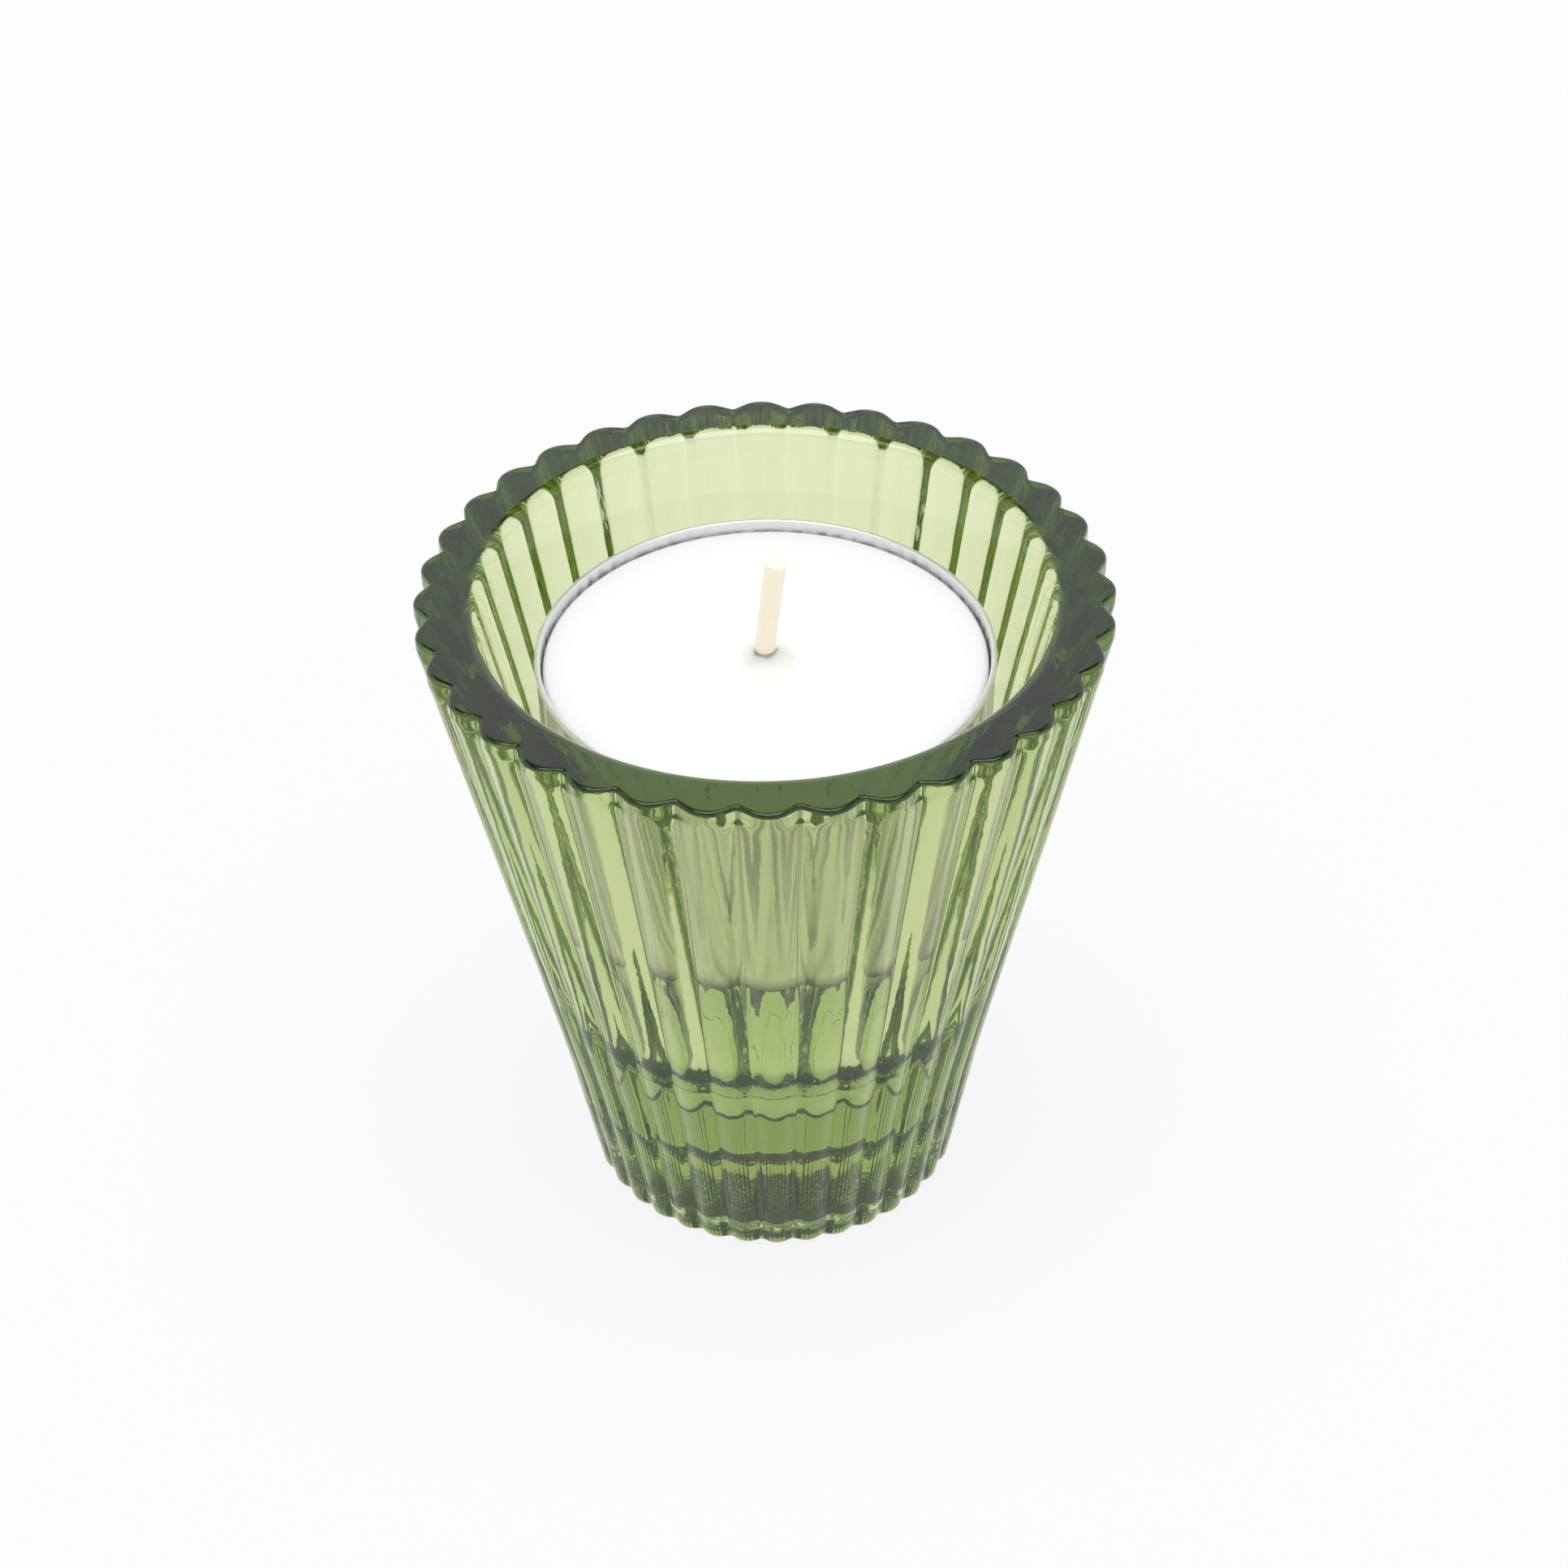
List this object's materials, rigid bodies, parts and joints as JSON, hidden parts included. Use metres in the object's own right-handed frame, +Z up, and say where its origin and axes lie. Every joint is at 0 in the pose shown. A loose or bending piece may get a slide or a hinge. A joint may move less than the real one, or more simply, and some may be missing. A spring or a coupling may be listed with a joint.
{
  "type": "tealight holder",
  "caption": "Tapered, ribbed glass tealight holder with a candle in an aluminium cup wedged in its conical bore.",
  "frame": {"origin": "middle of the holder's foot, on the surface it stands on", "axes": "+Z up along the holder's axis; +Y towards the back, so the front faces -Y; one rib's crest lies on each of the X and Y axes"},
  "size_m": [0.0586, 0.0586, 0.0632],
  "materials": {
    "holder_glass": "green pressed glass, fire polished",
    "cup_aluminium": "drawn sheet, bright",
    "candle_wax": "white paraffin wax, poured",
    "tab_steel": "tinned steel sheet, stamped",
    "wick_cotton": "braided cotton, waxed"
  },
  "bodies": {
    "holder": {"glass_holder": "holder_glass"},
    "cup": {"candle_cup": "cup_aluminium"},
    "wax": {"wax_fill": "candle_wax", "wick": "wick_cotton", "wick_tab": "tab_steel"}
  },
  "joints": [
    {"name": "tealight_lift", "type": "slide", "parent": "holder", "child": "cup", "axis": [0, 0, 1], "range_m": [0, 0.05]},
    {"name": "wax_lift", "type": "slide", "parent": "cup", "child": "wax", "axis": [0, 0, 1], "range_m": [0, 0.03]}
  ]
}
